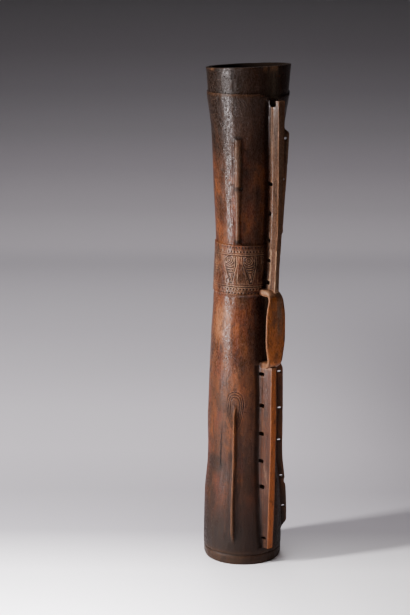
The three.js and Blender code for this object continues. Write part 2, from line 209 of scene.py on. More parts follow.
def line_distance(x, y, line, closed=False):
    """Distance from points to a line of [x, y] points."""
    best = np.full(len(x), 1e9)
    pairs = list(zip(line[:-1], line[1:])) + ([(line[-1], line[0])] if closed else [])
    for (ax, ay), (bx, by) in pairs:
        dx, dy = bx - ax, by - ay
        t = np.clip(((x - ax) * dx + (y - ay) * dy) / (dx * dx + dy * dy), 0, 1)
        best = np.minimum(best, np.hypot(x - ax - t * dx, y - ay - t * dy))
    return best


def loop_line(grow):
    """The tear-shaped loop round the head of the lower front rib, grown by some millimetres."""
    line = []
    steps = 26
    for i in range(steps):
        a = 2 * math.pi * (i + 0.5) / steps
        drop = (1 - math.cos(a)) / 2
        half = (LOOP_HALF + grow) * math.sin(a) * (1 - drop) ** 0.35
        line.append((half, LOOP_TOP + grow - (LOOP_TOP - LOOP_BOTTOM + 2 * grow) * drop ** 1.25))
    return line


def triangles(s, z, middle, up, pitch, shift):
    """Depth share of a row of small triangular punch marks."""
    u = (s / pitch + shift) % 1.0 * pitch - pitch / 2
    rise = (z - middle) * up
    tall, half = 2.5, 2.6
    side = (half * (tall - rise) / (2 * tall) - np.abs(u)) * 0.85
    return np.clip(np.minimum(side, rise + tall) / 1.2, 0, 1)


def motif(heading, z):
    """Depth share of the repeated motif: bull's eye, hanging arcs, pointed shield, eye and rays."""
    along = (heading - MOTIF_START + MOTIF_STEP / 2) % MOTIF_STEP - MOTIF_STEP / 2
    y = z - RING_Z
    x = np.radians(along) * BAND_RADIUS
    eye = np.hypot(np.abs(x + 1.5) + 3.4, z - EYE_Z) - 7.6
    x = x + SLANT * y
    r = np.hypot(x, y)
    share = np.zeros(len(z))
    for ring in RINGS:
        share = np.maximum(share, v_cut(r - ring, RING_WIDTH))
    opening = np.clip((y + 40.5) / 34, 0, 1)
    inside = (y < -1.5) & (x > -8.8 * opening) & (x < 10.9 * opening)
    for arc in ARCS:
        share = np.maximum(share, v_cut(r - arc, ARC_WIDTH) * inside)
    share = np.maximum(share, v_cut(line_distance(x, y, SHIELD), 2.6))
    share = np.maximum(share, v_cut(line_distance(x, y, SHIELD_INNER), 1.7) * 0.8)
    share = np.maximum(share, v_cut(eye, 1.8))
    from_middle = np.radians((heading - MOTIF_START) % MOTIF_STEP - MOTIF_STEP / 2)
    between = from_middle * BAND_RADIUS - 0.8 + SLANT * y
    ray = np.abs(np.abs(between) - (3.0 + 6.0 * np.clip(-y / 40, 0, 1)))
    share = np.maximum(share, v_cut(ray, 1.7) * 0.5 * (eye > 1.5))
    return share * ((z > FIELD_BOTTOM) & (z < FIELD_TOP))


def carving(heading, z):
    """Depth in millimetres of what is carved into the plain surface."""
    heading = fold(heading)
    depth = np.zeros(len(z))
    band = (z > BAND_BOTTOM) & (z < BAND_TOP)
    if band.any():
        h, zz = heading[band], z[band]
        s = np.radians(h) * BAND_RADIUS
        pitch = math.radians(PUNCH_STEP) * BAND_RADIUS
        cut = np.zeros(len(zz))
        for line in BORDER_LINES:
            cut = np.maximum(cut, v_cut(zz - line, BORDER_WIDTH))
        for middle, up, shift in TRIANGLE_ROWS:
            cut = np.maximum(cut, triangles(s, zz, middle, up, pitch, shift) * 1.25)
        cut = np.maximum(cut, motif(h, zz) * 1.1)
        depth[band] = cut * (1 - 0.45 * smooth(-h, 66, 92))
    near_loop = (z > LOOP_BOTTOM - 16) & (z < LOOP_TOP + 14) & (np.abs(heading - FRONT_RIB) < 24)
    if near_loop.any():
        s = np.radians(heading[near_loop] - FRONT_RIB) * LOOP_RADIUS
        zz = z[near_loop]
        cut = np.zeros(len(zz))
        for grow in LOOP_GROWS:
            away = line_distance(s, zz, loop_line(grow), closed=True)
            cut = np.maximum(cut, v_cut(away, LOOP_WIDTH))
        depth[near_loop] = cut * 0.9
    return depth


def weathering(heading, z):
    """Depth of the wear that is no part of the design: two drying splits and a crack in the rim."""
    heading = fold(heading)
    belly_radius, rim_radius = 74, 81
    wander = 0.8 * np.sin(z / 13.0) + 0.5 * np.sin(z / 5.3)
    front = v_cut(np.radians(heading + 76.6) * belly_radius - wander, 3.2)
    front = front * window(z, 186, 280, 20, 20)
    rear = v_cut(np.radians(heading - 160) * belly_radius - 1.5 * wander, 3.4)
    rear = rear * window(z, 60, 250, 40, 60)
    fall = np.clip((985 - z) / 34.0, 0, 1)
    crack = v_cut(np.radians(heading + 16 + 17 * fall ** 0.8) * rim_radius, 2.4)
    return 1.5 * np.maximum(front, rear) + 0.9 * crack * window(z, STEP_Z, 990, 3, 3)


def from_root(heading, z):
    """Millimetres along the body from the crest's near root, away from the crest."""
    return (crest_near(z) - heading) * math.pi / 180 * body_radius(z, heading)


def gutter_and_shade(heading, z):
    """The hollow on the body in front of the crest's near root, as a share: it is cut into the
    body, and the material paints it as shade.
    """
    away = from_root(fold(heading), z)
    return bump(away, 2.5, 8.5) * crest_there(z) * (away > -3)


# Columns of points round the drum

def rib_knots(z):
    """How much stouter the front rib is at its knots."""
    return sum(size * bump(z, middle, 15) for middle, size in FRONT_KNOTS)


def rib_rows(z):
    """How far the front and the rear rib stand up at a height, as shares."""
    front = np.maximum(window(z, 44, 337, 30, 30), window(z, 657, 872, 2, 36))
    rear = np.maximum(window(z, 48, 420, 20, 30), window(z, 657, 879, 12, 12))
    rear = rear * (1 - 0.24 * bump(z, 151, 9))
    return front, rear


# A rib's section: distance from its middle in half widths, and its share of the rib's height.
RIB_SECTION = [
    (-1.75, 0), (-1.3, 0.14), (-1.0, 0.5), (-0.78, 0.86), (-0.4, 0.985), (0, 1.0),
    (0.4, 0.985), (0.78, 0.86), (1.0, 0.5), (1.3, 0.14), (1.75, 0),
]


def crest_section(z):
    """(headings, lifts over the plain body) of the crest's section, near root to far root."""
    there = float(crest_there(z))
    edge, thick = float(crest_edge(z)), float(crest_thickness(z))
    middle = math.radians(float(crest_heading(z)))
    near, far = math.radians(float(crest_near(z))), math.radians(float(crest_far(z)))
    half = thick / 2

    def turned(x, y):
        c, s = math.cos(middle), math.sin(middle)
        return np.array([x * c - y * s, x * s + y * c])

    r_near = float(body_radius(np.array([z]), np.array([math.degrees(near)]))[0])
    r_far = float(body_radius(np.array([z]), np.array([math.degrees(far)]))[0])
    a = np.array([r_near * math.cos(near), r_near * math.sin(near)])
    b = turned(edge - 1.2, -half)
    tip = [turned(edge - 0.35, -half + 0.55), turned(edge - 0.05, -half + 1.6)]
    inner = np.linspace(-half + 3.2, half - 3.2, 5)
    tip += [turned(edge + 0.25 * (1 - (y / half) ** 2), y) for y in inner]
    tip += [turned(edge - 0.05, half - 1.6), turned(edge - 0.35, half - 0.55)]
    c = turned(edge - 1.2, half)
    d = np.array([r_far * math.cos(far), r_far * math.sin(far)])
    run = b - a
    out = np.array([run[1], -run[0]]) / float(np.hypot(*run))
    groove = mix(0.2, -0.8, float(smooth(z, 440, 560)))
    near_side = (
        (0, 0), (0.05, -0.4), (0.12, -0.5), (0.2, -0.2), (0.28, 0.2), (0.34, 0.35), (0.37, 0.2),
        (0.4, groove), (0.43, 0.2), (0.47, 0.35), (0.56, 0.2), (0.66, 0.0), (0.76, -0.1),
        (0.86, -0.05), (0.94, 0.0), (1, 0),
    )
    points = [a + run * t + out * lift for t, lift in near_side] + tip
    run = d - c
    out = np.array([run[1], -run[0]]) / float(np.hypot(*run))
    points += [c + run * t - out * 0.6 * math.sin(math.pi * t) for t in np.linspace(0, 1, 11)]
    points = np.array(points)
    heading = np.degrees(np.arctan2(points[:, 1], points[:, 0]))
    radius = np.hypot(points[:, 0], points[:, 1])
    heading = mix(np.linspace(-14.0, 14.0, len(heading)), heading, there)
    plain = body_radius(np.full(len(heading), z), heading)
    radius = mix(plain, radius, there)
    return heading, radius - plain


# Plain columns from the crest to the rear rib, on to 270 degrees, to the front rib, to the crest.
PLAIN_COUNTS = (15, 62, 20, 26)


def columns(z):
    """(headings, lifts over the plain body) round one row."""
    front, rear = rib_rows(np.array([z]))
    knots = float(rib_knots(z))
    upper = z > WAIST_Z
    thick = mix(8.4, 12.8, min(max((z - 660) / 200, 0), 1)) if upper else 5.4
    knotted = 1 + (0.16 if upper else 0.3) * knots
    front_half = math.degrees(thick / 2 / RIB_RADIUS) * knotted
    flare = 0.5 if upper else 1.0
    rear_half = math.degrees(4.25 / RIB_RADIUS)
    wobble = 0.5 * math.sin(z / 31.0) + 0.35 * math.sin(z / 11.7 + 1)
    h, lift = crest_section(z)
    crest_end, crest_start = h[-1], h[0]
    heads, lifts = [h], [lift]

    def plain(a, b, n):
        heads.append(np.linspace(a, b, n + 2)[1:-1])
        lifts.append(np.zeros(n))

    def rib(middle, half, reach, spread=1.0):
        """A rib's columns; spread stretches the feet of its section."""
        shares = np.array([s for s, _ in RIB_SECTION])
        over = np.sign(shares) * np.maximum(np.abs(shares) - 1, 0)
        heads.append(middle + (shares - over + over * spread) * half)
        lifts.append(np.array([reach * v for _, v in RIB_SECTION]))

    rear_mid = REAR_RIB + 0.3 * math.sin(z / 23.0)
    front_mid = FRONT_RIB + 0.4 * wobble
    plain(crest_end, rear_mid - 1.75 * rear_half, PLAIN_COUNTS[0])
    rib(rear_mid, rear_half, 12.2 * float(rear[0]))
    plain(rear_mid + 1.75 * rear_half, 270, PLAIN_COUNTS[1])
    wide = (1 + 0.75 * flare) * front_half
    reach = (10.4 + 0.9 * wobble + 0.9 * knots) * float(front[0])
    plain(270, 360 + front_mid - wide, PLAIN_COUNTS[2])
    rib(360 + front_mid, front_half, reach, flare)
    plain(360 + front_mid + wide, 360 + crest_start, PLAIN_COUNTS[3])
    return np.concatenate(heads), np.concatenate(lifts)


def refined(h, lift, split):
    """The row with a point more in the middle of each interval that is split."""
    at = np.arange(len(h)) + np.concatenate([[0], np.cumsum(split)[:-1]])
    total = len(h) + int(split.sum())
    h2, l2 = np.empty(total), np.empty(total)
    h2[at], l2[at] = h, lift
    after_h, after_l = np.append(h[1:], h[0] + 360), np.append(lift[1:], lift[0])
    h2[at[split] + 1] = (h[split] + after_h[split]) / 2
    l2[at[split] + 1] = (lift[split] + after_l[split]) / 2
    return h2, l2, at


def stitched(lower, upper):
    """Faces between two rows, each given as (indices of its columns, which intervals are split)."""
    (a, sa), (b, sb) = lower, upper
    a1, b1 = np.roll(a, -1), np.roll(b, -1)
    am, bm = a + 1, b + 1
    faces = []

    def add(mask, *corners):
        faces.extend(np.stack([c[mask] for c in corners], 1).tolist())

    none, both, low, high = ~sa & ~sb, sa & sb, sa & ~sb, ~sa & sb
    add(none, a, a1, b1, b)
    add(both, a, am, bm, b)
    add(both, am, a1, b1, bm)
    add(low, a, am, b)
    add(low, am, a1, b1)
    add(low, am, b1, b)
    add(high, a, a1, bm)
    add(high, a, bm, b)
    add(high, a1, b1, bm)
    return faces


def row_heights():
    """Heights of the rows of points: the marks have a row each, and the carving has close ones."""
    marks = [
        0.0, 1.5, 3, 4.5, 6, 12, 18.5, 20, 21, 22, 23.5, CREST_FOOT, 35, 36, *LOOP_ROWS,
        415, 416, ARM_BOTTOM, BAND_BOTTOM, 557.5, ARM_TOP, 563, 564, 655.5, BAND_TOP, 938, 939,
        CREST_HEAD, 945, 948, 950.9, STEP_Z, 954, 990, 996, 998.6,
    ]
    rows = [marks[0]]
    for start, end in zip(marks[:-1], marks[1:]):
        step = 4.6
        if BAND_BOTTOM <= start < BAND_TOP:
            step = 1.2
        elif LOOP_ROWS[0] <= start < LOOP_ROWS[1]:
            step = 1.3
        parts = max(1, math.ceil((end - start) / step - 1e-6))
        rows += [start + (end - start) * (i + 1) / parts for i in range(parts)]
    return rows


def foot_axis():
    """The drum's axis at the ground, from the outer ring of the CAD node's flat foot."""
    co = np.array([v.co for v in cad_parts["drum_body"].data.vertices])
    foot = np.unique(np.round(co[co[:, 2] < 1e-5][:, :2] / MM, 3), axis=0)
    middle = (foot.min(0) + foot.max(0)) / 2
    inner_ring = 72
    ring = foot[np.hypot(*(foot - middle).T) > inner_ring]
    equations = np.c_[2 * ring, np.ones(len(ring))]
    fit = np.linalg.lstsq(equations, (ring ** 2).sum(1), rcond=None)[0]
    return fit[:2]


AXIS = foot_axis()
LEAN_X = LEAN * math.cos(math.radians(LEAN_HEADING)) / HEIGHT
LEAN_Y = LEAN * math.sin(math.radians(LEAN_HEADING)) / HEIGHT


def place(radius, heading, z, lean_z):
    """Metres in the row frame; the lean follows lean_z, the row's height before it settles."""
    x = AXIS[0] + radius * np.cos(np.radians(heading)) + LEAN_X * lean_z
    y = AXIS[1] + radius * np.sin(np.radians(heading)) + LEAN_Y * lean_z
    return np.stack([x, y, z + 0 * x], axis=-1) * MM


def bore_radius(z):
    """Radius of the bore: the body's, less its wall."""
    collar = mix(COLLAR, LIP, (z - STEP_Z) / (HEIGHT - STEP_Z))
    return np.where(z < STEP_Z, outline(z), collar) - wall(z)


def drum_mesh():
    """The turned and carved body with its crest, ribs and hollow, as one closed grid."""
    points, rings, start = [], [], 0
    for z in row_heights():
        h, lift = columns(z)
        split = np.zeros(len(h), bool)
        if BAND_BOTTOM - 0.1 < z < BAND_TOP + 0.1:
            split[:] = True
        elif LOOP_ROWS[0] < z < LOOP_ROWS[1]:
            split = (h > 287) & (h < 330)
        h, lift, at = refined(h, lift, split)
        folded = fold(h)
        zz = np.full(len(h), z)
        on_body = 1 - np.clip(np.abs(lift) / 1.5, 0, 1)
        radius = body_radius(zz, folded) + lift
        radius = radius - (carving(folded, zz) + weathering(folded, zz)) * on_body
        radius = radius - 1.5 * gutter_and_shade(folded, zz) * (1 - smooth(lift, 0, 1))
        points.append(place(radius, h, settle(zz, folded), zz))
        rings.append((start + at, split))
        start += len(h)
    h, _ = columns(WAIST_Z)
    h = np.linspace(h[0], h[0] + 360, len(h) + 1)[:-1]
    whole = np.zeros(len(h), bool)
    folded = fold(h)
    top = settle(np.full(len(h), HEIGHT), folded) - HEIGHT
    inner = bore_radius(np.array(HEIGHT))
    chip = chips(folded)
    lip_rows = (
        (0.45, LIP - 0.5), (0.0, LIP - 1.7), (-0.1, (LIP + inner) / 2), (0.0, inner + 1.6),
        (0.5, inner + 0.5), (1.8, inner),
    )
    bore_rows = [HEIGHT - 5, HEIGHT - 10, *np.linspace(HEIGHT - 20, 20, 34), 8, 1.5]

    def add(points_in_row):
        nonlocal start
        points.append(points_in_row)
        rings.append((start + np.arange(len(h)), whole))
        start += len(h)

    for drop, radius in lip_rows:
        edge = smooth(radius, inner + 2, LIP)
        z = HEIGHT + top - drop - 0.15 - chip * edge
        add(place(np.full(len(h), radius) - chip * 0.7 * edge, h, z, z))
    for z in bore_rows:
        zz = np.full(len(h), z)
        add(place(bore_radius(zz), h, zz + top * smooth(z, 900, HEIGHT), zz))
    zz = np.zeros(len(h))
    add(place(bore_radius(zz) + 1.2, h, zz, zz))
    rings.append(rings[0])
    faces = []
    for lower, upper in zip(rings[:-1], rings[1:]):
        faces += stitched(lower, upper)
    mesh = bpy.data.meshes.new("drum")
    mesh.from_pydata(np.concatenate(points).tolist(), [], faces)
    mesh.validate()
    mesh.update()
    roughen(mesh)
    return mesh


def chips(heading):
    """Millimetres broken off the lip's outer edge at each heading."""
    broken = [depth * bump(heading, middle, half) ** 0.6 for middle, half, depth in CHIPS]
    return np.maximum.reduce(broken)


def read_vectors(elements, key):
    """An array (n, 3) of a vector read from each element."""
    flat = np.empty(len(elements) * 3, np.float32)
    elements.foreach_get(key, flat)
    return flat.reshape(-1, 3).astype(float)


def from_axis(p):
    """East and north of points from the drum's leaning axis, in millimetres."""
    return p[:, 0] - AXIS[0] - LEAN_X * p[:, 2], p[:, 1] - AXIS[1] - LEAN_Y * p[:, 2]


def roughen(mesh):
    """Tool marks and dents: moves the surface inwards a little, along its normals."""
    co = read_vectors(mesh.vertices, "co")
    normal = read_vectors(mesh.vertex_normals, "vector")
    p = co / MM
    marks = value_noise(p, (9, 9, 34), 3) * 0.28 + value_noise(p, (5, 5, 12), 7) * 0.13
    swell = value_noise(p, (38, 38, 60), 11) * 0.45
    dents = -np.clip(value_noise(p, (11, 11, 11), 19) - 0.62, 0, 1) * 1.6
    radius = np.hypot(*from_axis(p))
    inside = smooth(bore_radius(np.clip(p[:, 2], 0, HEIGHT)) + 4 - radius, 0, 3)
    amount = (marks + swell + dents - 0.72) * mix(1.0, 1.5, inside)
    amount *= smooth(p[:, 2], 0.5, 6) * (1 - smooth(p[:, 2], 985, 996) * 0.75)
    co += normal * (amount * MM)[:, None]
    mesh.vertices.foreach_set("co", co.ravel())
    mesh.update()


def handle_path():
    """(reach, height) along the middle of the strap, from its upper root to its lower one."""
    middle = HANDLE_REACH - STRAP / 2

    def root_x(z):
        return float(body_radius(np.array([z]), np.array([0.0]))[0]) - EMBED

    def corner(share, arm_z, side):
        a = math.pi / 2 * share
        x = middle - HANDLE_CORNER * (1 - math.cos(a))
        return x, arm_z + side * HANDLE_CORNER * (1 - math.sin(a))

    inner = middle - HANDLE_CORNER
    grip = np.linspace(ARM_TOP - HANDLE_CORNER, ARM_BOTTOM + HANDLE_CORNER, 30)[1:-1]
    path = [(x, ARM_TOP) for x in np.linspace(root_x(ARM_TOP), inner, 5)]
    path += [corner(1 - i / 8, ARM_TOP, -1) for i in range(1, 9)]
    path += [(middle, float(z)) for z in grip]
    path += [corner(i / 8, ARM_BOTTOM, 1) for i in range(9)]
    path += [(x, ARM_BOTTOM) for x in np.linspace(inner, root_x(ARM_BOTTOM), 5)[1:]]
    return path


def handle_mesh():
    """The strap handle: an arm out of the body, a rounded corner, the grip and back again."""
    path = handle_path()
    verts, faces = [], []
    around = 32
    for i, (x, z) in enumerate(path):
        before, after = path[max(i - 1, 0)], path[min(i + 1, len(path) - 1)]
        ax, az = after[0] - before[0], after[1] - before[1]
        size = math.hypot(ax, az)
        ax, az = ax / size, az / size
        grip = abs(az)
        share = min(z - ARM_BOTTOM, ARM_TOP - z) / HANDLE_WIDENING
        widening = math.sin(min(share, 1) * math.pi / 2) ** 0.8
        half = mix(ROOT_WIDTH / 2, STRAP_WIDTH / 2, widening) + 0.35 * math.sin(z / 9.0)
        thick = mix(ARM_HEIGHT, STRAP, grip) / 2
        for k in range(around):
            a = 2 * math.pi * k / around
            ca, sa = math.cos(a), math.sin(a)
            y = half * math.copysign(abs(ca) ** 0.62, ca)
            out = thick * math.copysign(abs(sa) ** 0.5, sa)
            if sa > 0:
                edge = min(1.0, abs(y) / half)
                ridge = (KEEL + 0.2) * max(0.0, 1 - abs(y) / 5.0)
                out = min(out + (ridge - 1.3 * edge ** 2) * grip, thick + KEEL * grip)
            verts.append(np.array([
                AXIS[0] + x - az * out + LEAN_X * z, AXIS[1] + y + LEAN_Y * z, z + ax * out,
            ]) * MM)
    count = len(path)
    for i in range(count - 1):
        for k in range(around):
            a, b = i * around + k, i * around + (k + 1) % around
            faces.append((a, b, b + around, a + around))
    faces.append(tuple(range(around))[::-1])
    faces.append(tuple(range((count - 1) * around, count * around)))
    mesh = bpy.data.meshes.new("handle")
    mesh.from_pydata([tuple(v) for v in verts], [], faces)
    mesh.update()
    work = bmesh.new()
    work.from_mesh(mesh)
    bmesh.ops.recalc_face_normals(work, faces=work.faces)
    work.to_mesh(mesh)
    work.free()
    return mesh


def cutters():
    """Rounded bars that pierce the crest and the ribs, next to the body."""
    work = bmesh.new()

    def bar(heading, z, start, depth, tall, width, far_depth=None):
        """A bar across a heading; its far end may reach less deep than its near end."""
        before = len(work.verts)
        sides = 12
        for y, reach in ((-width / 2, depth), (width / 2, far_depth or depth)):
            x0, x1 = start, start + reach
            for k in range(sides):
                a = 2 * math.pi * k / sides
                ca, sa = math.cos(a), math.sin(a)
                x = (x0 + x1) / 2 + (x1 - x0) / 2 * math.copysign(abs(ca) ** 0.5, ca)
                h = tall / 2 * math.copysign(abs(sa) ** 0.55, sa)
                c, s = math.cos(math.radians(heading)), math.sin(math.radians(heading))
                north = AXIS[1] + x * s + y * c + LEAN_Y * z
                work.verts.new(Vector((AXIS[0] + x * c - y * s + LEAN_X * z, north, z + h)) * MM)
        work.verts.ensure_lookup_table()
        near_end = work.verts[before:before + sides]
        far_end = work.verts[before + sides:]
        for k in range(sides):
            j = (k + 1) % sides
            work.faces.new((near_end[k], near_end[j], far_end[j], far_end[k]))
        work.faces.new(near_end[::-1])
        work.faces.new(far_end)

    def surface(heading, z):
        return float(body_radius(np.array([float(z)]), np.array([float(heading)]))[0])

    for i, z in enumerate(SLOTS):
        heading = (float(crest_near(z)) + float(crest_far(z))) / 2
        tall = SLOT_HEIGHT * (0.66 if i == 0 else 1 + 0.08 * math.sin(i * 2.3))
        sink, near, far = (2.2, 2.6, 0.0) if z < ARM_BOTTOM else (0.5, 5.0, 4.5 - SLOT_DEPTH)
        start = surface(heading, z) - sink
        bar(heading, z, start, SLOT_DEPTH + near, tall, SLOT_WIDTH, SLOT_DEPTH + far)
    heading = float(crest_heading(CREST_HEAD))
    bar(heading, CREST_HEAD - 7, surface(heading, CREST_HEAD) - 2, 14, 15, SLOT_WIDTH)
    for z in FRONT_HOLES:
        bar(FRONT_RIB, z, surface(FRONT_RIB, z) - 0.8, 8.4, 6.4, 24)
    for z in REAR_HOLES:
        bar(REAR_RIB, z, surface(REAR_RIB, z) - 0.8, 7.8, 5.4, 22)
    bmesh.ops.recalc_face_normals(work, faces=work.faces)
    mesh = bpy.data.meshes.new("cutters")
    work.to_mesh(mesh)
    work.free()
    return mesh


def new_object(name, data):
    obj = bpy.data.objects.new(name, data)
    bpy.context.scene.collection.objects.link(obj)
    return obj


def joined():
    """The body with its handle united and the holes cut through, as one mesh."""
    drum = new_object("drum", drum_mesh())
    handle = new_object("handle_part", handle_mesh())
    bars = new_object("bars", cutters())
    for operation, other in (("UNION", handle), ("DIFFERENCE", bars)):
        modifier = drum.modifiers.new(operation.lower(), "BOOLEAN")
        modifier.operation = operation
        modifier.object = other
        modifier.solver = "MANIFOLD"
    bpy.context.view_layer.update()
    graph = bpy.context.evaluated_depsgraph_get()
    done = bpy.data.meshes.new_from_object(drum.evaluated_get(graph))
    drum.modifiers.clear()
    old = drum.data
    drum.data = done
    done.name = "drum"
    bpy.data.meshes.remove(old)
    for other in (handle, bars):
        mesh = other.data
        bpy.data.objects.remove(other)
        bpy.data.meshes.remove(mesh)
    return drum


def stains(heading, z):
    """Where the wood is smoked or stained dark, as a share."""
    left = bump(z, 207, 36) * bump(heading, -88, 46)
    foot = 0.9 * window(z, 24, 120, 3, 70)
    chest = smooth(z, 770, 880) * mix(0.62, 0.95, smooth(-heading, 60, 80))
    collar = 0.5 * bump(z, 945, 18)
    back = 0.35 * smooth(np.abs(heading + 20), 60, 130) * (1 - bump(heading, -80, 40))
    return np.maximum.reduce([left, foot, chest, collar, back])


def standing_out(mesh, p):
    """How far each point stands out of its neighbours' plane (or lies under it), smoothed."""
    edges = np.empty(len(mesh.edges) * 2, np.int64)
    mesh.edges.foreach_get("vertices", edges)
    edges = edges.reshape(-1, 2)
    normal = read_vectors(mesh.vertex_normals, "vector")
    proud, degree = np.zeros(len(p)), np.zeros(len(p))
    span = p[edges[:, 1]] - p[edges[:, 0]]
    length = np.maximum(np.linalg.norm(span, axis=1), 0.2)
    for end, sign in ((0, 1.0), (1, -1.0)):
        bend = -sign * (span * normal[edges[:, end]]).sum(1) / length ** 2
        np.add.at(proud, edges[:, end], bend)
        np.add.at(degree, edges[:, end], 1)
    proud /= np.maximum(degree, 1)
    for _ in range(2):
        total, seen = proud.copy(), np.ones(len(p))
        for end in (0, 1):
            np.add.at(total, edges[:, end], proud[edges[:, 1 - end]])
            np.add.at(seen, edges[:, end], 1)
        proud = total / seen
    return proud


def write_attributes(mesh):
    """Masks that the material reads at every point: shares from 0 to 1, for "cut" up to 1.4."""
    p = read_vectors(mesh.vertices, "co") / MM
    z = p[:, 2]
    x, y = from_axis(p)
    heading = np.degrees(np.arctan2(y, x))
    radius = np.hypot(x, y)
    plain = body_radius(np.clip(z, 0, HEIGHT), heading)
    lift = radius - plain
    on_body = 1 - smooth(np.abs(lift), 2.2, 4.0)
    inside = smooth(-lift, 5, 7)
    by_crest = np.abs(heading) < CREST_REACH
    proud = standing_out(mesh, p) * 9
    crest = smooth(lift, 1.5, 5) * by_crest
    arm = (z > ARM_BOTTOM - 8) & (z < ARM_TOP + 8) & (lift > 6) & (np.abs(y) < 27)

    # painted shade: dark round the slots of the crest and the holes of the front rib, where shade
    # falls into them
    hole_shade = np.maximum.reduce([bump(z, slot, 7.5) for slot in SLOTS])
    hole_shade = hole_shade * by_crest * bump(lift, 3, 12) * (from_root(heading, z) < 4) * (1 - inside)
    by_rib = bump(np.radians(heading - FRONT_RIB) * plain, 0, 14)
    by_rib = by_rib * (np.abs(heading - FRONT_RIB) < 20)
    for hole in FRONT_HOLES:
        hole_shade = np.maximum(hole_shade, 2.2 * bump(z, hole, 7) * by_rib)

    # painted shade: the body behind the handle and the hollow by the crest's root are darkened
    # where shade falls
    handle_shadow = 1.2 * bump(heading, -6, 34) * window(z, 412, ARM_TOP - 2, 12, 12)
    painted_gap_shade = np.clip(gutter_and_shade(heading, z) + handle_shadow, 0, 1)
    values = {
        "cut": np.clip(carving(heading, z) + weathering(heading, z), 0, 1.4) * on_body,
        "proud": np.clip(proud, 0, 1) * (1 - 0.75 * smooth(z, 955, 990)),
        "hollow": np.clip(-proud, 0, 1),
        "inside": inside,
        "crest": crest,
        "tip": crest * smooth(radius, crest_edge(z) - 2.5, crest_edge(z) - 0.8),
        "grip": arm,
        "rib": smooth(lift, 3, 9) * ~by_crest,
        "gutter_and_shade": painted_gap_shade * (1 - smooth(lift, 4, 9)) * (1 - inside),
        "chip": smooth(z, 990, 999) * np.clip(chips(heading), 0, 1) * smooth(radius, 76, 80),
        "hole_shade": np.clip(hole_shade, 0, 1),
        "shade": smooth(heading, -52, -24) * (1 - smooth(heading, 60, 110)) * on_body,
        "stain": stains(heading, z) * (1 - inside),
        # painted highlight: a lighter patch on the left of the waist
        "waist_highlight": bump(z, 500, 66) * bump(heading, -82, 30) * on_body,
    }
    for name, data in values.items():
        layer = mesh.attributes.new(name, "FLOAT", "POINT")
        layer.data.foreach_set("value", np.asarray(data, np.float32))


# Materials: a colour of three numbers is red, green and blue from 0 to 255

def linear(colour):
    """The same colour as Blender takes it."""
    return tuple(
        ((c / 255 + 0.055) / 1.055) ** 2.4 if c > 10 else c / 3294.6 for c in colour
    ) + (1.0,)


# The body's wood from the foot to the rim, by height in metres
FOOT_TO_RIM = (
    (0.0, (66, 54, 46)), (0.03, (54, 43, 37)), (0.10, (52, 34, 26)), (0.20, (80, 49, 34)),
    (0.36, (116, 72, 46)), (0.48, (114, 72, 48)), (0.57, (108, 72, 54)), (0.64, (104, 70, 54)),
    (0.70, (100, 64, 46)), (0.80, (88, 58, 45)), (0.86, (68, 51, 45)), (0.95, (38, 31, 29)),
    (0.985, (26, 21, 20)),
)
# The studio's wall by height, and its floor by the share of the way from front to back: painted
# light and shade, the wall darker towards the top, the floor brightest in front and darker about
# the drum's distance
WALL = (
    (0.0, (232, 226, 234)), (0.115, (198, 193, 200)), (0.247, (170, 165, 172)),
    (0.4, (144, 141, 146)), (0.564, (122, 119, 124)), (0.738, (104, 101, 105)),
    (1.0, (84, 82, 85)),
)
FLOOR = (
    (0.0, (254, 252, 255)), (0.098, (252, 249, 254)), (0.163, (188, 184, 192)),
    (0.252, (182, 178, 186)), (0.364, (200, 195, 203)), (0.512, (208, 203, 211)),
    (0.85, (213, 208, 216)), (1.0, (222, 217, 225)),
)
FLOOR_FROM, FLOOR_TO = -0.8, 2.8


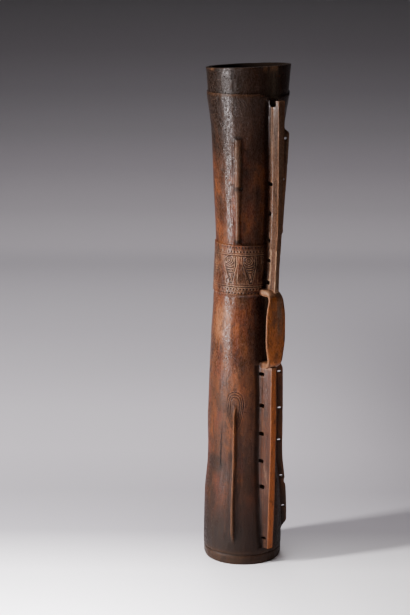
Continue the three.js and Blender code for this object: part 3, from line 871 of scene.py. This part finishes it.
class Nodes:
    """A short way to write node trees."""

    def __init__(self, name):
        self.material = bpy.data.materials.new(name)
        self.material.use_nodes = True
        self.tree = self.material.node_tree
        self.bsdf = self.tree.nodes["Principled BSDF"]

    def put(self, socket, value):
        if isinstance(value, bpy.types.NodeSocket):
            self.tree.links.new(value, socket)
        elif isinstance(value, tuple) and len(value) == 3:
            socket.default_value = linear(value)
        else:
            socket.default_value = value

    def math(self, operation, a, b=0.0, clamp=False):
        node = self.tree.nodes.new("ShaderNodeMath")
        node.operation = operation
        node.use_clamp = clamp
        self.put(node.inputs[0], a)
        self.put(node.inputs[1], b)
        return node.outputs[0]

    def attribute(self, name):
        node = self.tree.nodes.new("ShaderNodeAttribute")
        node.attribute_name = name
        return node.outputs["Fac"]

    def position(self):
        return self.tree.nodes.new("ShaderNodeTexCoord").outputs["Object"]

    def axes(self):
        """The position's x, y and z, in metres."""
        node = self.tree.nodes.new("ShaderNodeSeparateXYZ")
        self.put(node.inputs[0], self.position())
        return node.outputs

    def distance(self, direction):
        """Metres from the origin along a direction."""
        node = self.tree.nodes.new("ShaderNodeVectorMath")
        node.operation = "DOT_PRODUCT"
        self.put(node.inputs[0], self.position())
        node.inputs[1].default_value = tuple(direction)
        return node.outputs["Value"]

    def noise(self, scale, detail=4.0, rough=0.55, stretch=(1, 1, 1), distortion=0.0):
        mapping = self.tree.nodes.new("ShaderNodeMapping")
        self.put(mapping.inputs["Vector"], self.position())
        mapping.inputs["Scale"].default_value = stretch
        node = self.tree.nodes.new("ShaderNodeTexNoise")
        self.put(node.inputs["Vector"], mapping.outputs[0])
        node.inputs["Scale"].default_value = scale
        node.inputs["Detail"].default_value = detail
        node.inputs["Roughness"].default_value = rough
        node.inputs["Distortion"].default_value = distortion
        return node.outputs[0]

    def range(self, value, a, b, low=0.0, high=1.0):
        """Low where the value is a, high where it is b, smooth between them."""
        node = self.tree.nodes.new("ShaderNodeMapRange")
        node.interpolation_type = "SMOOTHSTEP"
        self.put(node.inputs["Value"], value)
        for name, number in (("From Min", a), ("From Max", b), ("To Min", low), ("To Max", high)):
            node.inputs[name].default_value = number
        return node.outputs[0]

    def blend(self, factor, a, b, kind="MIX"):
        """Colour b over colour a, by a factor."""
        node = self.tree.nodes.new("ShaderNodeMix")
        node.data_type = "RGBA"
        node.blend_type = kind
        self.put(node.inputs[0], factor)
        self.put(node.inputs[6], a)
        self.put(node.inputs[7], b)
        return node.outputs[2]

    def ramp(self, value, stops):
        node = self.tree.nodes.new("ShaderNodeValToRGB")
        self.put(node.inputs[0], value)
        elements = node.color_ramp.elements
        for element, (at, colour) in zip((elements[0], elements[1]), (stops[0], stops[-1])):
            element.position = at
            element.color = linear(colour)
        for at, colour in stops[1:-1]:
            elements.new(at).color = linear(colour)
        return node.outputs[0]

    def bump(self, height, strength, distance, normal=None):
        node = self.tree.nodes.new("ShaderNodeBump")
        node.inputs["Strength"].default_value = strength
        node.inputs["Distance"].default_value = distance
        self.put(node.inputs["Height"], height)
        if normal is not None:
            self.put(node.inputs["Normal"], normal)
        return node.outputs[0]


def wood():
    """Old wood: smoked at the rim, warm in the middle, dark at the foot, worn where hands go, with
    shade and highlights painted into its colour.
    """
    n = Nodes("dark carved wood")

    def times(a, b):
        return n.math("MULTIPLY", a, b)

    def plus(a, b):
        return n.math("ADD", a, b)

    def centred(noise):
        return n.math("SUBTRACT", noise, 0.5)

    east, north, height = n.axes()
    broad = n.noise(15, 3, 0.5, (1, 1, 0.5))
    reddish = n.noise(27, 3, 0.55, (1, 1, 0.4))
    patch = n.noise(42, 4, 0.62, (1, 1, 0.55))
    mottle = n.noise(95, 4, 0.6, (1, 1, 0.6), 0.6)
    streak = n.noise(150, 5, 0.62, (1, 1, 0.1), 0.5)
    pitted = n.noise(260, 3, 0.5)
    fine = n.noise(520, 3, 0.6, (1, 1, 0.35))
    cut, inside = n.attribute("cut"), n.attribute("inside")
    crest, grip = n.attribute("crest"), n.attribute("grip")
    middle = times(n.range(height, 0.08, 0.2), n.range(height, 0.95, 0.75))
    lit = times(n.range(height, 0.1, 0.24, 0.1, 1.0), n.range(height, 0.94, 0.8, 0.1, 1.0))
    smoked = n.range(plus(n.attribute("stain"), times(centred(patch), 1.5)), 0.25, 0.85)
    proud = times(n.attribute("proud"), n.range(patch, 0.3, 0.6, 0.35, 1.0))
    band = times(n.range(height, 0.559, 0.563), n.range(height, 0.650, 0.646))

    crest_sides = n.blend(n.range(height, 0.45, 0.6), (80, 42, 24), (98, 80, 72))
    tips = n.blend(n.range(height, 0.56, 0.42), (84, 58, 46), (190, 106, 52))
    tips = n.blend(n.range(mottle, 0.52, 0.3, 0.0, 0.6), tips, (92, 58, 40))
    grain = plus(times(mottle, 0.4), times(streak, 0.6))
    palm = n.blend(n.range(grain, 0.38, 0.58), (100, 60, 38), (184, 108, 52))
    worn = times(n.range(north, -0.006, 0.001), n.range(north, 0.015, 0.008))
    worn = times(worn, times(n.range(height, 0.46, 0.5), n.range(mottle, 0.36, 0.5)))
    palm = n.blend(times(worn, 0.85), palm, (112, 98, 90))
    palm = n.blend(n.range(east, 0.0885, 0.086, 0.0, 0.7), palm, (148, 116, 100))

    # what lies over what: a factor and a colour each
    layers = (
        (n.range(broad, 0.52, 0.36, 0.0, 0.5), (66, 46, 34)),
        (times(n.range(reddish, 0.46, 0.62, 0.0, 0.5), middle), (122, 60, 40)),
        (n.range(patch, 0.47, 0.33, 0.0, 0.6), (54, 37, 30)),
        (times(n.range(patch, 0.48, 0.72, 0.0, 0.6), lit), (168, 98, 52)),
        (n.range(mottle, 0.52, 0.3, 0.0, 0.72), (52, 35, 28)),
        (n.range(streak, 0.46, 0.3, 0.0, 0.5), (42, 29, 24)),
        (n.range(streak, 0.58, 0.74, 0.0, 0.22), (150, 94, 60)),
        (times(smoked, 0.8), (44, 34, 30)),
        (times(crest, 0.72), crest_sides),
        (times(crest, n.range(streak, 0.5, 0.34, 0.0, 0.6)), (46, 34, 29)),
        (times(crest, n.range(streak, 0.54, 0.7, 0.0, 0.45)), (156, 124, 104)),
        (times(n.attribute("tip"), 0.85), tips),
        (times(n.attribute("rib"), n.range(height, 0.5, 0.62, 0.1, 0.6)), (112, 92, 83)),
        (times(grip, 0.85), palm),
        # proud edges lighter: partly wear, partly painted highlight; on the band's raised ridges a
        # painted highlight
        (times(proud, 0.5), (172, 124, 90)),
        (times(times(proud, band), 0.65), (255, 214, 186)),
        (n.range(n.attribute("hollow"), 0.15, 1.0, 0.0, 0.6), (34, 24, 20)),
        (n.range(cut, 0.08, 0.7, 0.0, 0.95), (18, 12, 10)),
        # painted shade: the hollow by the crest's root and the body behind the handle darkened
        (times(n.attribute("gutter_and_shade"), 0.75), (24, 16, 14)),
        (times(n.attribute("chip"), 0.8), (150, 112, 84)),
        # painted shade round the crest's slots and the front rib's holes
        (times(n.attribute("hole_shade"), 0.8), (22, 15, 13)),
        # painted shade: the bore's inside darkened
        (times(inside, 0.92), (32, 23, 19)),
        (n.range(fine, 0.6, 0.4, 0.0, 0.25), (30, 20, 16)),
        (times(n.attribute("shade"), 0.5), (44, 25, 18)),
        # painted highlight on the left of the waist
        (times(n.attribute("waist_highlight"), n.range(mottle, 0.3, 0.6, 0.15, 0.6)), (214, 148, 110)),
    )
    base = n.ramp(plus(height, times(centred(broad), 0.06)), FOOT_TO_RIM)
    for factor, colour in layers:
        base = n.blend(factor, base, colour)
    n.put(n.bsdf.inputs["Base Color"], n.blend(1.0, base, (0.43, 0.39, 0.33, 1), "MULTIPLY"))

    rough = n.range(patch, 0.3, 0.7, 0.22, 0.34)
    rough = plus(rough, n.range(fine, 0.42, 0.6, -0.08, 0.16))
    rough = plus(rough, n.range(mottle, 0.45, 0.3, 0.0, 0.2))
    rough = plus(rough, n.range(height, 0.46, 0.3, 0.0, 0.2))
    rough = plus(rough, times(cut, 0.25))
    rough = n.math("ADD", rough, times(inside, 0.4), True)
    rough = n.math("ADD", rough, times(n.attribute("inside"), 0.4), True)
    n.put(n.bsdf.inputs["Roughness"], rough)
    n.bsdf.inputs["Specular IOR Level"].default_value = 0.1
    calm = n.range(band, 0.0, 1.0, 1.0, 0.25)
    normal = n.bump(times(centred(mottle), calm), 0.45, 0.0015)
    normal = n.bump(streak, 0.3, 0.0005, normal)
    normal = n.bump(fine, 0.5, 0.0004, normal)
    normal = n.bump(n.range(pitted, 0.42, 0.28), 0.5, -0.0007, normal)
    n.put(n.bsdf.inputs["Normal"], normal)
    return n.material


def backdrop(back, right):
    """A floor that turns up into a wall behind, darker towards the top: light and shade painted in,
    with a painted shadow on the floor behind the drum and to its right.
    """
    n = Nodes("studio paper")
    height = n.axes()[2]
    away, across = n.distance(back), n.distance(right)
    floor = n.ramp(n.range(away, FLOOR_FROM, FLOOR_TO), FLOOR)
    # painted shadow on the floor behind the drum and to its right
    floor_shadow = n.math("MULTIPLY", n.range(away, 0.1, 0.4, 0.0, 0.75), n.range(across, 0.0, 0.7))
    floor_shadow = n.math("MULTIPLY", floor_shadow, n.range(away, FLOOR_TO, 0.8))
    floor = n.blend(floor_shadow, floor, (128, 124, 130))
    colour = n.blend(n.range(height, 0.0, 0.03), floor, n.ramp(height, WALL))
    n.put(n.bsdf.inputs["Base Color"], colour)
    n.bsdf.inputs["Roughness"].default_value = 0.9
    n.bsdf.inputs["Specular IOR Level"].default_value = 0.0
    flat_end, curve, wall_top, half_width = 3.0, 1.6, 6.0, 8.0
    profile = [(-6.0, 0.0), (flat_end, 0.0)]
    for a in np.linspace(0, math.pi / 2, 25)[1:]:
        profile.append((flat_end + curve * math.sin(a), curve * (1 - math.cos(a))))
    profile.append((flat_end + curve, wall_top))
    verts, faces = [], []
    for reach, z in profile:
        for side in (-half_width, half_width):
            point = back * reach + right * side
            verts.append((point.x, point.y, z))
    for i in range(len(profile) - 1):
        faces.append((2 * i, 2 * i + 1, 2 * i + 3, 2 * i + 2))
    mesh = bpy.data.meshes.new("backdrop")
    mesh.from_pydata(verts, [], faces)
    for polygon in mesh.polygons:
        polygon.use_smooth = True
    mesh.update()
    obj = new_object("backdrop", mesh)
    mesh.materials.append(n.material)
    return obj


def area_light(name, position, target, size, power, colour):
    data = bpy.data.lights.new(name, "AREA")
    data.shape = "RECTANGLE"
    data.size, data.size_y = size
    data.energy = power
    data.color = colour
    light = new_object(name, data)
    light.location = position
    light.rotation_euler = (target - position).to_track_quat("-Z", "Y").to_euler()
    return light


# The drum

drum = joined()
write_attributes(drum.data)
drum.data.materials.clear()
drum.data.materials.append(wood())
for polygon in drum.data.polygons:
    polygon.use_smooth = True
drum.data.set_sharp_from_angle(angle=math.radians(48))
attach(drum, "root")
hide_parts("drum_body")

# Camera, floor and light, in metres from the drum's foot

CAMERA_HEADING = -38.0
CAMERA_DISTANCE, CAMERA_HEIGHT = 3.128, 1.239
CAMERA_PITCH, CAMERA_YAW = 12.98, 1.41
CAMERA_LENS = 93.8
WARM_WHITE, PAPER_WHITE = (1, 0.97, 0.95), (1, 0.985, 1)

azimuth = math.radians(CAMERA_HEADING)
towards = Vector((math.cos(azimuth), math.sin(azimuth), 0))
right = Vector((-math.sin(azimuth), math.cos(azimuth), 0))
back = -towards


def spot(to_right, to_camera, up):
    """A point seen from the drum's foot: to the camera's right, towards the camera, and up."""
    foot = Vector((AXIS[0] * MM, AXIS[1] * MM, 0))
    return foot + right * to_right + towards * to_camera + Vector((0, 0, up))


camera_data = bpy.data.cameras.new("camera")
camera_data.lens = CAMERA_LENS
camera_data.sensor_width = 36
camera_data.clip_end = 50
camera = new_object("camera", camera_data)
camera.location = spot(0, CAMERA_DISTANCE, CAMERA_HEIGHT)
pitch, yaw = math.radians(CAMERA_PITCH), math.radians(CAMERA_YAW)
look = (back * math.cos(yaw) - right * math.sin(yaw)) * math.cos(pitch)
look -= Vector((0, 0, math.sin(pitch)))
camera.rotation_euler = look.to_track_quat("-Z", "Y").to_euler()
bpy.context.scene.camera = camera

backdrop(back, right)

middle = spot(0, 0, 0.6)
area_light("key", spot(-2.12, 0.92, 1.35), middle, (0.26, 1.3), 150, WARM_WHITE)
# a low strip that is seen in the gloss alone: the bright streak on the drum's left
gleam = area_light(
    "gleam", spot(-2.06, 1.05, 0.2), spot(0, 0, 0.2), (0.46, 0.36), 90, (1, 0.91, 0.92),
)
gleam.visible_diffuse = False
area_light("side", spot(1.7, 0.5, 0.45), spot(0, 0, 0.35), (0.5, 0.8), 3.6, (1, 0.74, 0.52))
# a weak one behind the drum, without a streak of its own
back_fill = area_light("back_fill", spot(-0.3, -2.2, 1.3), middle, (0.8, 1.2), 4.5, WARM_WHITE)
back_fill.data.spread = math.radians(50)
back_fill.visible_glossy = False
pool = area_light(
    "floor_pool", spot(-0.45, 0.75, 1.0), spot(-0.42, 0.7, 0), (0.7, 0.7), 14, PAPER_WHITE,
)
pool.data.spread = math.radians(70)
area_light("floor_wash", spot(-0.5, -0.7, 3.2), spot(0, -0.5, 0), (3, 3), 54, PAPER_WHITE)

world = bpy.data.worlds.new("studio")
world.use_nodes = True
sky = world.node_tree.nodes["Background"]
sky.inputs[0].default_value = (0.97, 0.96, 1.0, 1)
sky.inputs[1].default_value = 0.05
bpy.context.scene.world = world
